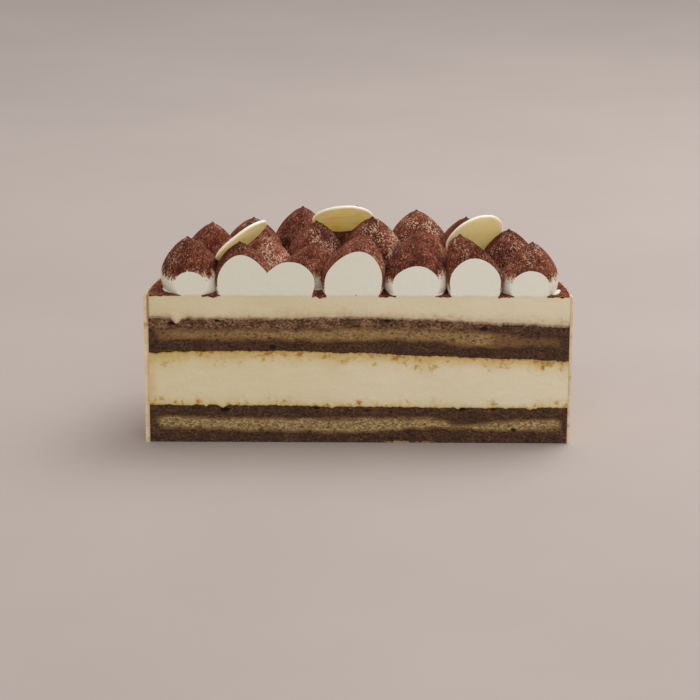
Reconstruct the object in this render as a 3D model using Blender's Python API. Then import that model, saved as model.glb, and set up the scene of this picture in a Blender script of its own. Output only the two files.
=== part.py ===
"""Half of a round tiramisu cream cake, standing with its knife cut towards -Y.

From the table up: coffee sponge, cream, coffee sponge, cream, with a thin skin of cream round the
outside. Piped cream kisses cover the top, and three thin white chocolate rounds lean among them.
Units are metres, +Z is up, and the origin is under the middle of the whole piece.
"""

import math
from dataclasses import dataclass

import bmesh
import bpy
from mathutils import Matrix, Vector

# Driving dimensions
CAKE_DIAMETER = 0.200
STACK_HEIGHT = 0.072
COAT_THICKNESS = 0.0016
COAT_LIFT = 0.0005
COAT_LIP = 0.0004
GAP = 0.0003
ROUND_DIAMETER = 0.0294
ROUND_THICKNESS = 0.0013
ROUND_DISHING = 0.0007

# Resolution of the meshes
CAKE_SEGMENTS = 30
CAKE_RINGS = 6
KISS_SEGMENTS = 18
ROUND_SEGMENTS = 24
ROUND_RINGS = 2

# Worked out from them
CAKE_RADIUS = CAKE_DIAMETER / 2
LAYER_RADIUS = CAKE_RADIUS - COAT_THICKNESS - GAP
CUT_Y = -CAKE_RADIUS / 2
MM = 0.001

# Heights of the three joints between layers, in mm, at even steps across the knife cut from left to right
LOWER_SPONGE_TOP = (18.3, 18.4, 18.2, 17.8, 17.6, 17.5, 17.7)
UPPER_SPONGE_BOTTOM = (43.8, 44.7, 44.8, 44.1, 42.8, 41.5, 40.4)
UPPER_SPONGE_TOP = (61.7, 60.9, 61.2, 61.8, 60.7, 59.1, 57.9)
LOWER_PHASE, MIDDLE_PHASE, UPPER_PHASE = 0.4, 1.9, 3.1
JOINT_WAVE = 0.0005
WAVE_LENGTH_ACROSS = 0.062
WAVE_LENGTH_BACK = 0.0775
WAVE_STARTS_OVER = 0.020

# A kiss of piped cream: share of its height, and share of its largest radius there
KISS_PROFILE = (
    (0.00, 0.88), (0.07, 0.95), (0.22, 1.00), (0.38, 0.985), (0.51, 0.89),
    (0.64, 0.75), (0.77, 0.55), (0.88, 0.335), (0.96, 0.15), (1.00, 0.00),
)


@dataclass(frozen=True)
class Kiss:
    """One piped kiss: its place from the middle of the cut, its size and how far its tip leans, in mm.

    With an upright front, only what lies behind the knife's cut leans across, and its lowest part stays put.
    """

    name: str
    across: float
    depth: float
    radius: float
    height: float
    lean_across: float
    lean_back: float
    upright_front: bool = False

    @property
    def centre(self):
        return Vector((self.across * MM, CUT_Y + self.depth * MM, STACK_HEIGHT + GAP))


KISSES = (
    Kiss("kiss_outer_1", -77.7, 12.5, 14.6, 24.8, -2.3, 3.3),
    Kiss("kiss_outer_2", -70.0, 36.6, 14.0, 26.4, 0.7, 0.4),
    Kiss("kiss_outer_3", -50.8, 60.2, 14.4, 22.8, 0.3, 0.3),
    Kiss("kiss_outer_4", -27.5, 74.5, 13.8, 24.9, 0.5, 0.0),
    Kiss("kiss_outer_5", -1.0, 77.0, 14.0, 24.6, 0.4, 0.0),
    Kiss("kiss_outer_6", 29.3, 74.5, 14.3, 23.3, -0.9, 0.0),
    Kiss("kiss_outer_7", 52.3, 60.1, 13.8, 23.5, -0.2, 0.0),
    Kiss("kiss_outer_8", 71.4, 35.2, 13.6, 24.0, 0.0, -0.1),
    Kiss("kiss_outer_9", 79.9, 10.0, 13.7, 23.2, 1.4, 4.4),
    Kiss("kiss_middle_1", -53.2, 6.4, 13.8, 24.8, -2.0, 0.6),
    Kiss("kiss_middle_2", -44.2, 28.6, 13.5, 22.0, 0.0, 0.4),
    Kiss("kiss_middle_3", -20.3, 47.0, 14.0, 24.5, 0.3, 0.3),
    Kiss("kiss_middle_4", 6.5, 43.0, 16.0, 27.8, 0.2, 0.0),
    Kiss("kiss_middle_5", 28.5, 34.6, 14.8, 23.3, 2.7, 0.4),
    Kiss("kiss_middle_6", 54.2, 5.6, 13.3, 27.2, -7.1, 7.2, upright_front=True),
    Kiss("kiss_inner_1", -32.2, -9.8, 15.8, 24.5, 0.0, -1.0),
    Kiss("kiss_inner_2", -23.5, 21.0, 13.4, 20.8, 4.5, 1.0),
    Kiss("kiss_inner_3", 26.6, 10.9, 15.6, 24.8, 0.6, 4.2),
    Kiss("kiss_centre", -2.8, 6.5, 15.1, 28.2, 5.5, 2.9),
)


@dataclass(frozen=True)
class ChocolateRound:
    """One thin round: its middle from the middle of the cut in mm, its tilt off flat and the way it faces."""

    name: str
    across: float
    depth: float
    above: float
    tilt: float
    heading: float

    @property
    def matrix(self):
        centre = Vector((self.across * MM, CUT_Y + self.depth * MM, STACK_HEIGHT + self.above * MM))
        turn = Matrix.Rotation(math.radians(self.heading), 4, "Z")
        lean = Matrix.Rotation(math.radians(self.tilt), 4, "Y")
        return Matrix.Translation(centre) @ turn @ lean


CHOCOLATE_ROUNDS = (
    ChocolateRound("chocolate_round_left", -54.6, 13.7, 22.7, 44.8, 148.4),
    ChocolateRound("chocolate_round_middle", -7.5, 53.5, 23.1, 37.3, 96.6),
    ChocolateRound("chocolate_round_right", 54.9, 30.0, 20.6, 55.5, 119.2),
)


def clear_scene():
    """Removes every object, so that only the cake is left."""
    for obj in list(bpy.data.objects):
        bpy.data.objects.remove(obj)


def finish(name, colour, roughness):
    """A Principled material of one colour (linear RGB)."""
    material = bpy.data.materials.new(name)
    material.use_nodes = True
    shader = material.node_tree.nodes["Principled BSDF"]
    shader.inputs["Base Color"].default_value = (*colour, 1.0)
    shader.inputs["Roughness"].default_value = roughness
    shader.inputs["Metallic"].default_value = 0.0
    return material


def add_object(name, bm, material, matrix=None):
    """Turns a bmesh into a named object with outward faces and its material."""
    bmesh.ops.recalc_face_normals(bm, faces=bm.faces)
    mesh = bpy.data.meshes.new(name)
    bm.to_mesh(mesh)
    bm.free()
    mesh.materials.append(material)
    obj = bpy.data.objects.new(name, mesh)
    if matrix is not None:
        obj.matrix_world = matrix
    bpy.context.scene.collection.objects.link(obj)
    return obj


def shade_round(obj, sharp_degrees=40):
    """Shades a turned piece smooth, with its cut edges left sharp."""
    obj.data.shade_smooth()
    obj.data.set_sharp_from_angle(angle=math.radians(sharp_degrees))


# Layers ---------------------------------------------------------------------------------------------


def along(heights, across):
    """The height in metres at a place across the cake, on a smooth line through even steps."""
    last = len(heights) - 1
    place = min(max((across / CAKE_DIAMETER + 0.5) * last, 0.0), last - 1e-9)
    step = int(place)
    share = place - step
    eased = share * share * (3 - 2 * share)
    return MM * (heights[step] * (1 - eased) + heights[step + 1] * eased)


def joint(heights, phase):
    """A gently waving joint between two layers, as a function of x and y. The wave starts behind the cut."""

    def height(x, y):
        depth = y - CUT_Y
        fade = min(1.0, depth / WAVE_STARTS_OVER)
        across = math.cos(2 * math.pi * x / WAVE_LENGTH_ACROSS + phase)
        back = math.sin(2 * math.pi * depth / WAVE_LENGTH_BACK + phase)
        return along(heights, x) + JOINT_WAVE * fade * across * back

    return height


def flat(height):
    """A flat surface at one height."""
    return lambda x, y: height


def spun_sheet(bm, radius, rings, centre, turn, steps):
    """A flat sheet made of one radial line, spun about a centre through a half or a full turn."""
    start = Vector(centre)
    line = [bm.verts.new(start + Vector((radius * i / rings, 0, 0))) for i in range(rings + 1)]
    edges = [bm.edges.new(ends) for ends in zip(line, line[1:])]
    bmesh.ops.spin(bm, geom=line + edges, cent=centre, axis=(0, 0, 1), angle=turn, steps=steps)
    bmesh.ops.remove_doubles(bm, verts=bm.verts, dist=1e-6)


def raised_copy(bm):
    """Extrudes a sheet into a closed body, still flat, and gives back the vertices of its upper face."""
    raised = bmesh.ops.extrude_face_region(bm, geom=bm.faces[:])
    return {item for item in raised["geom"] if isinstance(item, bmesh.types.BMVert)}


def make_layer(name, bottom, top, material):
    """One layer through the whole cake, between two surfaces."""
    bm = bmesh.new()
    spun_sheet(bm, LAYER_RADIUS, CAKE_RINGS, (0, CUT_Y, 0), math.pi, CAKE_SEGMENTS)
    upper = raised_copy(bm)
    for vert in bm.verts:
        surface = top if vert in upper else bottom
        vert.co.z = surface(vert.co.x, vert.co.y)
    return add_object(name, bm, material)


def make_layers(sponge, cream):
    """The four layers, with a narrow gap at each joint."""
    lower_joint = joint(LOWER_SPONGE_TOP, LOWER_PHASE)
    middle_joint = joint(UPPER_SPONGE_BOTTOM, MIDDLE_PHASE)
    upper_joint = joint(UPPER_SPONGE_TOP, UPPER_PHASE)

    def over(surface):
        return lambda x, y: surface(x, y) + GAP

    make_layer("sponge_lower", flat(0.0), lower_joint, sponge)
    make_layer("cream_middle", over(lower_joint), middle_joint, cream)
    make_layer("sponge_upper", over(middle_joint), upper_joint, sponge)
    make_layer("cream_top", over(upper_joint), flat(STACK_HEIGHT), cream)


def make_coat(cream):
    """The thin skin of cream round the outside, a little proud of the top and clear of the table."""
    inner = CAKE_RADIUS - COAT_THICKNESS
    bottom = COAT_LIFT
    top = STACK_HEIGHT + COAT_LIP
    bm = bmesh.new()
    corners = ((inner, bottom), (CAKE_RADIUS, bottom), (CAKE_RADIUS, top), (inner, top))
    section = [bm.verts.new((radius, CUT_Y, height)) for radius, height in corners]
    bmesh.ops.spin(
        bm,
        geom=[bm.faces.new(section)],
        cent=(0, CUT_Y, 0),
        axis=(0, 0, 1),
        angle=math.pi,
        steps=CAKE_SEGMENTS,
    )
    return add_object("cream_coat", bm, cream)


# Kisses ---------------------------------------------------------------------------------------------


def turned_kiss(kiss):
    """A kiss about its own foot: the profile spun through a full turn, then leaned towards its tip."""
    bm = bmesh.new()
    height = kiss.height * MM
    radius = kiss.radius * MM
    places = [(0.0, 0.0)] + [(radius * wide, height * high) for high, wide in KISS_PROFILE]
    line = [bm.verts.new((across, 0, up)) for across, up in places]
    edges = [bm.edges.new(ends) for ends in zip(line, line[1:])]
    bmesh.ops.spin(
        bm, geom=line + edges, cent=(0, 0, 0), axis=(0, 0, 1), angle=2 * math.pi, steps=KISS_SEGMENTS
    )
    bmesh.ops.remove_doubles(bm, verts=bm.verts, dist=1e-6)
    for vert in bm.verts:
        share = max(vert.co.z / height, 0.0)
        across = share**2
        if kiss.upright_front:
            behind = min(max(vert.co.y / (kiss.depth * MM) + 1, 0.0), 1.0)
            drawn = min(max((share - 0.30) / 0.55, 0.0), 1.0)
            across = drawn * drawn * (3 - 2 * drawn) * behind
        vert.co.x += kiss.lean_across * MM * across
        vert.co.y += kiss.lean_back * MM * share**2
    return bm


def slice_off(bm, point, outward):
    """Cuts away what lies past a plane, and closes the cut with a flat face."""
    everything = bm.verts[:] + bm.edges[:] + bm.faces[:]
    bmesh.ops.bisect_plane(
        bm, geom=everything, dist=1e-6, plane_co=point, plane_no=outward, clear_outer=True
    )
    rim = [edge for edge in bm.edges if edge.is_boundary]
    if rim:
        bmesh.ops.holes_fill(bm, edges=rim, sides=0)


def press_together(bm, kiss):
    """Flattens a kiss where it meets its neighbours, on the plane that both share."""
    for other in KISSES:
        apart = other.centre - kiss.centre
        distance = apart.length
        near, far = kiss.radius * MM, other.radius * MM
        if other is kiss or distance > near + far + GAP:
            continue
        reach = (distance**2 + near**2 - far**2) / (2 * distance) - GAP / 2
        outward = apart.normalized()
        slice_off(bm, outward * reach, outward)


def make_kisses(cream, cutters):
    """Every kiss, pressed against its neighbours, sliced by the knife and slotted for the rounds."""
    for kiss in KISSES:
        bm = turned_kiss(kiss)
        press_together(bm, kiss)
        slice_off(bm, Vector((0, CUT_Y - kiss.centre.y, 0)), Vector((0, -1, 0)))
        obj = add_object(kiss.name, bm, cream, Matrix.Translation(kiss.centre))
        shade_round(obj)
        reach = (kiss.radius + kiss.height / 2) * MM
        for cutter in cutters:
            middle = kiss.centre + Vector((0, 0, kiss.height * MM / 2))
            if (cutter.matrix_world.translation - middle).length < reach + ROUND_DIAMETER / 2:
                slot = obj.modifiers.new("slot", "BOOLEAN")
                slot.operation = "DIFFERENCE"
                slot.object = cutter


# Chocolate rounds -----------------------------------------------------------------------------------


def thin_round(radius, thickness, dishing):
    """A thin disc, lower in its middle than at its rim."""
    bm = bmesh.new()
    spun_sheet(bm, radius, ROUND_RINGS, (0, 0, 0), 2 * math.pi, ROUND_SEGMENTS)
    upper = raised_copy(bm)
    for vert in bm.verts:
        share = math.hypot(vert.co.x, vert.co.y) / radius
        side = 0.5 if vert in upper else -0.5
        vert.co.z = thickness * side + dishing * (share**2 - 0.5)
    return bm


def make_rounds(chocolate):
    """The three rounds, and for each a slightly larger cutter for the slot that it sits in."""
    cutters = []
    for item in CHOCOLATE_ROUNDS:
        body = thin_round(ROUND_DIAMETER / 2, ROUND_THICKNESS, ROUND_DISHING)
        obj = add_object(item.name, body, chocolate, item.matrix)
        shade_round(obj)
        tool = thin_round(ROUND_DIAMETER / 2 + GAP, ROUND_THICKNESS + 2 * GAP, ROUND_DISHING)
        cutter = add_object(item.name + "_slot", tool, chocolate, item.matrix)
        cutter.hide_render = True
        cutter.display_type = "WIRE"
        cutters.append(cutter)
    return cutters


def main():
    clear_scene()
    sponge = finish("coffee_sponge", (0.16, 0.09, 0.04), 0.95)
    cream = finish("cream", (0.62, 0.52, 0.36), 0.6)
    piped = finish("piped_cream", (0.25, 0.12, 0.08), 0.85)
    chocolate = finish("white_chocolate", (0.62, 0.48, 0.24), 0.4)
    make_layers(sponge, cream)
    make_coat(cream)
    cutters = make_rounds(chocolate)
    bpy.context.view_layer.update()
    make_kisses(piped, cutters)


main()
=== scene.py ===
"""Half of a round tiramisu cream cake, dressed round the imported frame.

Porous coffee sponges and smooth cream show on the knife cut, a thin skin of cream goes round the
outside, and cocoa-dusted kisses of piped cream stand on top with three thin white chocolate rounds
leaning among them. Lengths are metres unless a name or a docstring says mm.
"""

import logging
import math
import random
from contextlib import contextmanager
from dataclasses import astuple, dataclass
from enum import Enum
from typing import Any, Callable, Iterator, Sequence

import bpy
import numpy as np
from mathutils import Matrix, Vector, noise


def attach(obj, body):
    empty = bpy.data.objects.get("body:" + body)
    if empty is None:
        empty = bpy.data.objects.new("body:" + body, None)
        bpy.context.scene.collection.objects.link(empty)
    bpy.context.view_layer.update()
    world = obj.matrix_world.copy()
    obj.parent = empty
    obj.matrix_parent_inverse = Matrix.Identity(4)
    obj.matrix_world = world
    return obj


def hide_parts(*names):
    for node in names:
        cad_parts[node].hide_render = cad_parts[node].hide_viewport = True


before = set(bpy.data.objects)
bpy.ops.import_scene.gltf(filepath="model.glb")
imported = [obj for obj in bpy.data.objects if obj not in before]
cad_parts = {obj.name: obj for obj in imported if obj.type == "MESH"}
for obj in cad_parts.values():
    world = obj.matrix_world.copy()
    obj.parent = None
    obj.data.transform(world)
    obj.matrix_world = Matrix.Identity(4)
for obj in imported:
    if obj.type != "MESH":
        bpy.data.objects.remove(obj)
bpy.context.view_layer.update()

MM = 0.001
# How near two places must be to count as one, for the mesh tools.
TOUCHING = 1e-6
Colour = tuple[float, float, float]
Numbers = dict[str, np.ndarray]
log = logging.getLogger("tiramisu")


# Named sizes and options ----------------------------------------------------------------------------


@dataclass(frozen=True)
class CakeSizes:
    """The sizes that the sub-assemblies share."""

    radius: float = 0.100
    stack: float = 0.072
    middle_y: float = -0.050
    cut_y: float = -0.0497
    left_skin: float = 0.0021
    right_skin: float = 0.0013

    def skin_at(self, x: Any) -> Any:
        """How thick the skin of cream is at one or more places across the cake."""
        share = np.clip(x / self.radius * 0.5 + 0.5, 0.0, 1.0)
        return self.left_skin + (self.right_skin - self.left_skin) * share

    def ends(self, margin: float = 0.0) -> tuple[float, float]:
        """Where the layers start and stop on the cut, less a margin."""
        return -(self.radius - self.left_skin - margin), self.radius - self.right_skin - margin


SIZES = CakeSizes()


class Slot(Enum):
    """The material slots."""

    SPONGE = "coffee_sponge"
    CREAM = "cream"
    SKIN = "cream_coat"
    PIPED = "piped_cream"
    COCOA = "cocoa_dust"
    CHOCOLATE = "white_chocolate"


class Joint(Enum):
    """Heights in mm where one layer meets the next, at even steps from the left of the cut to the right."""

    FLOOR = (0.0, 0.0)
    LOWER = (18.3, 18.4, 18.2, 17.8, 17.6, 17.5, 17.7)
    MIDDLE = (43.8, 44.7, 44.8, 44.1, 42.8, 41.5, 40.4)
    UPPER = (61.7, 60.9, 61.2, 61.8, 60.7, 59.1, 57.9)
    TOP = (72.0, 72.0)

    def height(self, x: Any) -> Any:
        """The joint's height in metres at one or more places across the cake."""
        return MM * along(self.value, x)

    def edge(self, x: np.ndarray) -> np.ndarray:
        """The joint's true line on the cut: crumbly, with the notches that cream has run into.

        Args:
            x: Places across the cake.

        Returns:
            A height for each place.
        """
        line = self.height(x)
        if self in (Joint.FLOOR, Joint.TOP):
            return line
        spots = points(x, line[0], 0.0)
        for deep, wide, seed in CRUMBLE:
            line = line + deep * uneven(spots, wide, seed)
        for across, wide, deep in NOTCHES.get(self, ()):
            line -= deep * MM * np.exp(-(((x - across * MM) / (wide * MM)) ** 2) * 2)
        return line


# How uneven a joint's line is: the height, the width and the seed of each of its three noises.
CRUMBLE = ((0.00036, 0.0015, 1.0), (0.00038, 0.0050, 9.0), (0.00024, 0.0008, 5.0))

# Where cream has run down into a sponge: the place across, the half width and the depth in mm.
NOTCHES = {
    Joint.UPPER: ((-84.9, 2.8, 3.1), (-79.0, 2.0, -0.5), (-31.0, 1.4, 0.6), (66.0, 1.8, 0.6)),
    Joint.LOWER: ((-63.2, 2.4, 1.1), (-71.3, 1.4, 1.0), (-12.0, 1.6, 0.7), (81.2, 2.6, 0.8), (47.0, 1.5, 0.6)),
}


def along(values: Sequence[float], x: Any) -> Any:
    """Reads a smooth line through even steps across the cake.

    Args:
        values: The line's values from the left of the cut to the right.
        x: One or more places across the cake.

    Returns:
        The value there.
    """
    last = len(values) - 1
    place = np.clip((x / SIZES.radius + 1) / 2 * last, 0.0, last - 1e-9)
    step = np.floor(place).astype(int)
    eased = rise(place - step, 0.0, 1.0)
    return np.array(values)[step] * (1 - eased) + np.array(values)[step + 1] * eased


def rise(value: Any, low: Any, high: Any) -> Any:
    """A smooth rise from 0 at low to 1 at high, on a number or an array."""
    share = np.clip((value - low) / (high - low), 0.0, 1.0)
    return share * share * (3 - 2 * share)


def points(*coordinates: Any) -> np.ndarray:
    """Joins coordinates to points, one in each row. A plain number counts for every point."""
    return np.stack(np.broadcast_arrays(*coordinates), axis=1)


def uneven(spots: np.ndarray, size: float, seed: float) -> np.ndarray:
    """Smooth noise at many points.

    Args:
        spots: The points, one in each row.
        size: The width of one hump.
        seed: Moves the pattern, so that no two are alike.

    Returns:
        One value from -1 to 1 for each point.
    """
    away = Vector((seed * 7.3, seed * 3.1, seed * 5.7))
    return np.array([noise.noise(Vector(spot) / size + away) for spot in spots])


# Mesh tools -----------------------------------------------------------------------------------------


def deselect() -> None:
    """Deselects every object."""
    bpy.ops.object.select_all(action="DESELECT")


def pick(obj: bpy.types.Object) -> None:
    """Selects one object alone and makes it the active one.

    Args:
        obj: The object.
    """
    deselect()
    bpy.context.view_layer.objects.active = obj
    obj.select_set(True)


def added(name: str, operator: Callable[..., Any], **settings: Any) -> bpy.types.Object:
    """Adds an object by one of Blender's operators.

    Args:
        name: The object's name.
        operator: The operator.
        settings: What it is called with.

    Returns:
        The object.
    """
    deselect()
    operator(**settings)
    obj = bpy.context.active_object
    obj.name = obj.data.name = name
    return obj


@contextmanager
def editing(obj: bpy.types.Object, kind: str) -> Iterator[None]:
    """Edit mode on one object for the length of a with block.

    Args:
        obj: The object, with the selection that its mesh carries.
        kind: What is selected, EDGE or FACE.
    """
    pick(obj)
    bpy.ops.object.mode_set(mode="EDIT")
    bpy.context.tool_settings.mesh_select_mode = (False, kind == "EDGE", kind == "FACE")
    yield
    bpy.ops.object.mode_set(mode="OBJECT")


def read(items: Any, name: str, width: int, kind: type = float) -> np.ndarray:
    """Reads one property of many mesh elements.

    Args:
        items: The mesh's vertices, edges, loops or polygons.
        name: The property.
        width: How many numbers it has.
        kind: The type of these numbers.

    Returns:
        The numbers, one row for each element.
    """
    values = np.empty(len(items) * width, kind)
    items.foreach_get(name, values)
    return values.reshape(-1, width)


def positions(obj: bpy.types.Object) -> np.ndarray:
    """Every vertex's place, one in each row."""
    return read(obj.data.vertices, "co", 3)


def set_positions(obj: bpy.types.Object, places: np.ndarray) -> None:
    """Moves every vertex to the place in its row."""
    obj.data.vertices.foreach_set("co", np.ascontiguousarray(places, float).ravel())
    obj.data.update()


def mark(obj: bpy.types.Object, chosen: np.ndarray) -> None:
    """Selects vertices, and the edges and faces that lie wholly among them.

    Args:
        obj: The object, in object mode.
        chosen: True for each vertex that is selected.
    """
    mesh = obj.data
    mesh.vertices.foreach_set("select", chosen)
    mesh.edges.foreach_set("select", chosen[read(mesh.edges, "vertices", 2, np.int32)].all(axis=1))
    corners = read(mesh.loops, "vertex_index", 1, np.int32).ravel()
    starts = read(mesh.polygons, "loop_start", 1, np.int32).ravel()
    mesh.polygons.foreach_set("select", np.logical_and.reduceat(chosen[corners], starts))


def store(obj: bpy.types.Object, name: str, values: np.ndarray) -> None:
    """Writes a number for each vertex, for the finishes to read."""
    layer = obj.data.attributes.new(name, "FLOAT", "POINT")
    layer.data.foreach_set("value", np.ascontiguousarray(values, np.float32))


def tidy_normals(obj: bpy.types.Object) -> None:
    """Turns every face of an object outwards.

    Args:
        obj: The object, closed.
    """
    with editing(obj, "FACE"):
        bpy.ops.mesh.select_all(action="SELECT")
        bpy.ops.mesh.normals_make_consistent(inside=False)


def dress(obj: bpy.types.Object, degrees: float, *materials: bpy.types.Material) -> None:
    """Gives an object its finishes and shades it smooth.

    Args:
        obj: The object.
        degrees: The angle above which an edge stays sharp.
        materials: The finishes, the main one first.
    """
    for material in materials:
        obj.data.materials.append(material)
    pick(obj)
    bpy.ops.object.shade_smooth_by_angle(angle=math.radians(degrees))


def grid(name: str, columns: int, rows: int) -> tuple[bpy.types.Object, np.ndarray, np.ndarray]:
    """Adds a flat grid to be shaped.

    Args:
        name: The object's name.
        columns: Cells along its first side.
        rows: Cells along its second side.

    Returns:
        The object, and each vertex's share along the first and the second side.
    """
    obj = added(name, bpy.ops.mesh.primitive_grid_add, x_subdivisions=columns, y_subdivisions=rows, size=1)
    flat = positions(obj) + 0.5
    return obj, np.round(flat[:, 0] * columns) / columns, np.round(flat[:, 1] * rows) / rows


def place(obj: bpy.types.Object, slot: Slot, *nodes: str) -> None:
    """Hands a finished piece to the frame.

    Args:
        obj: The piece, with its place in its mesh.
        slot: A material slot; not used.
        nodes: The CAD nodes that it stands for.
    """
    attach(obj, "root")
    if nodes:
        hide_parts(*nodes)
    log.info("%s: %d faces", obj.name, len(obj.data.polygons))


# Shader tools ---------------------------------------------------------------------------------------


def sum_of(operation: str, swapped: bool = False) -> Callable[["Signal", Any], "Signal"]:
    """Makes one of the operators that a signal has.

    Args:
        operation: The Math node's operation.
        swapped: Whether the signal stands on the right.

    Returns:
        The operator's method.
    """
    def apply(self: "Signal", other: Any) -> "Signal":
        """Adds the Math node for this operator."""
        return self.maths(operation, other, self) if swapped else self.maths(operation, self, other)

    return apply


class Signal:
    """One number that varies over a surface, with Python's operators for its maths."""

    def __init__(self, graph: "Graph", socket: bpy.types.NodeSocket) -> None:
        """Keeps the socket and the graph that it is in."""
        self.graph = graph
        self.socket = socket

    def maths(self, operation: str, first: Any, second: Any) -> "Signal":
        """Adds one Math node on two signals or numbers."""
        node = self.graph.add("ShaderNodeMath", {"operation": operation}, {0: first, 1: second})
        return Signal(self.graph, node.outputs[0])

    __add__, __radd__ = sum_of("ADD"), sum_of("ADD", True)
    __sub__, __rsub__ = sum_of("SUBTRACT"), sum_of("SUBTRACT", True)
    __mul__, __rmul__ = sum_of("MULTIPLY"), sum_of("MULTIPLY", True)
    most = sum_of("MAXIMUM")

    def swing(self, gain: float) -> "Signal":
        """This noise about its middle, as strong as the gain says."""
        return (self - 0.5) * gain

    def rising(self, low: float, high: float) -> "Signal":
        """A smooth rise of this signal.

        Args:
            low: Where the rise starts, at 0.
            high: Where it ends, at 1.

        Returns:
            The rise, as a signal.
        """
        inputs = {"Value": self, "From Min": low, "From Max": high}
        node = self.graph.add("ShaderNodeMapRange", {"interpolation_type": "SMOOTHSTEP"}, inputs)
        return Signal(self.graph, node.outputs["Result"])


class Graph:
    """A material's nodes, all added by one method, and the colour painted so far."""

    def __init__(self, name: str) -> None:
        """Starts an empty material.

        Args:
            name: The material's name.
        """
        self.material = bpy.data.materials.new(name)
        self.material.use_nodes = True
        self.tree = self.material.node_tree
        self.tree.nodes.clear()
        self.place = self.add("ShaderNodeTexCoord", {}, {}).outputs["Object"]
        self.colour: Any = None

    def add(self, kind: str, settings: dict[str, Any], inputs: dict[Any, Any]) -> bpy.types.Node:
        """Adds one node of any kind.

        Args:
            kind: The node's type.
            settings: Its properties, set first.
            inputs: Values, signals or sockets for its inputs, by name or number.

        Returns:
            The node.
        """
        node = self.tree.nodes.new(kind)
        for key, value in settings.items():
            setattr(node, key, value)
        for key, value in inputs.items():
            if isinstance(value, Signal):
                value = value.socket
            if isinstance(value, bpy.types.NodeSocket):
                self.tree.links.new(value, node.inputs[key])
            else:
                node.inputs[key].default_value = value
        return node

    def stored(self, name: str) -> Signal:
        """A number that the mesh holds for each vertex."""
        return Signal(self, self.add("ShaderNodeAttribute", {"attribute_name": name}, {}).outputs["Fac"])

    def direction(self, name: str) -> bpy.types.NodeSocket:
        """Three numbers that the mesh holds for each vertex."""
        return self.add("ShaderNodeAttribute", {"attribute_name": name}, {}).outputs["Vector"]

    def axis(self, number: int) -> Signal:
        """One of the three object coordinates."""
        return Signal(self, self.add("ShaderNodeSeparateXYZ", {}, {0: self.place}).outputs[number])

    def spread(self, size: float, stretch: Colour, space: Any = None) -> bpy.types.NodeSocket:
        """Coordinates in which one hump, stretched along each axis, is 1 wide."""
        scale = tuple(1 / (size * longer) for longer in stretch)
        return self.add("ShaderNodeMapping", {}, {"Vector": space or self.place, "Scale": scale}).outputs[0]

    def grain(self, size: float, detail: float = 2.0, stretch: Colour = (1.0, 1.0, 1.0), space: Any = None) -> Signal:
        """Noise in space.

        Args:
            size: The width of one hump.
            detail: How many finer layers it has.
            stretch: How much longer a hump is along each axis.
            space: A socket with coordinates other than the object's own.

        Returns:
            The noise, from 0 to 1.
        """
        vector = self.spread(size, stretch, space)
        inputs = {"Vector": vector, "Scale": 1.0, "Detail": detail, "Roughness": 0.55}
        return Signal(self, self.add("ShaderNodeTexNoise", {}, inputs).outputs["Fac"])

    def pores(self, size: float, low: float, high: float, stretch: Colour) -> Signal:
        """Round pores that don't touch.

        Args:
            size: How far apart they are.
            low: The share of that within which a pore is at its deepest.
            high: The share at which it ends.
            stretch: How much longer a pore is along each axis.

        Returns:
            1 in a pore and 0 between them.
        """
        inputs = {"Vector": self.spread(size, stretch), "Scale": 1.0}
        cells = self.add("ShaderNodeTexVoronoi", {"feature": "F1"}, inputs)
        away = Signal(self, cells.outputs["Distance"]) + self.grain(size * 2.5, 1.0).swing(0.5)
        return 1.0 - away.rising(low, high)

    def blend(self, share: Any, first: Any, second: Any) -> bpy.types.NodeSocket:
        """Mixes two colours.

        Args:
            share: 0 for the first, 1 for the second.
            first: A colour or a colour socket.
            second: A colour or a colour socket.

        Returns:
            The mixed colour's socket.
        """
        first, second = ((*tint, 1.0) if isinstance(tint, tuple) else tint for tint in (first, second))
        return self.add("ShaderNodeMix", {"data_type": "RGBA"}, {0: share, 6: first, 7: second}).outputs[2]

    def paint(self, share: Any, colour: Any) -> None:
        """Lays a colour over what is painted so far."""
        self.colour = self.blend(share, self.colour, colour)

    def finish(
        self,
        roughness: Any,
        gloss: float,
        relief: Signal | None = None,
        depth: float = 0.0,
        more: dict[str, Any] | None = None,
    ) -> bpy.types.Material:
        """Adds the Principled shader, with what is painted as its colour, and the output.

        Args:
            roughness: A number or a signal.
            gloss: How strongly it mirrors, 0.5 for most things.
            relief: Fine relief for the normals.
            depth: How deep that relief is.
            more: The shader's other sockets and their values.

        Returns:
            The material.
        """
        inputs = {"Base Color": self.colour, "Roughness": roughness, "Specular IOR Level": gloss, **(more or {})}
        if relief is not None:
            bump = self.add("ShaderNodeBump", {}, {"Height": relief, "Distance": depth, "Strength": 1.0})
            inputs["Normal"] = bump.outputs[0]
        shader = self.add("ShaderNodeBsdfPrincipled", {}, inputs)
        self.add("ShaderNodeOutputMaterial", {}, {"Surface": shader.outputs[0]})
        return self.material


# Finishes -------------------------------------------------------------------------------------------


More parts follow.
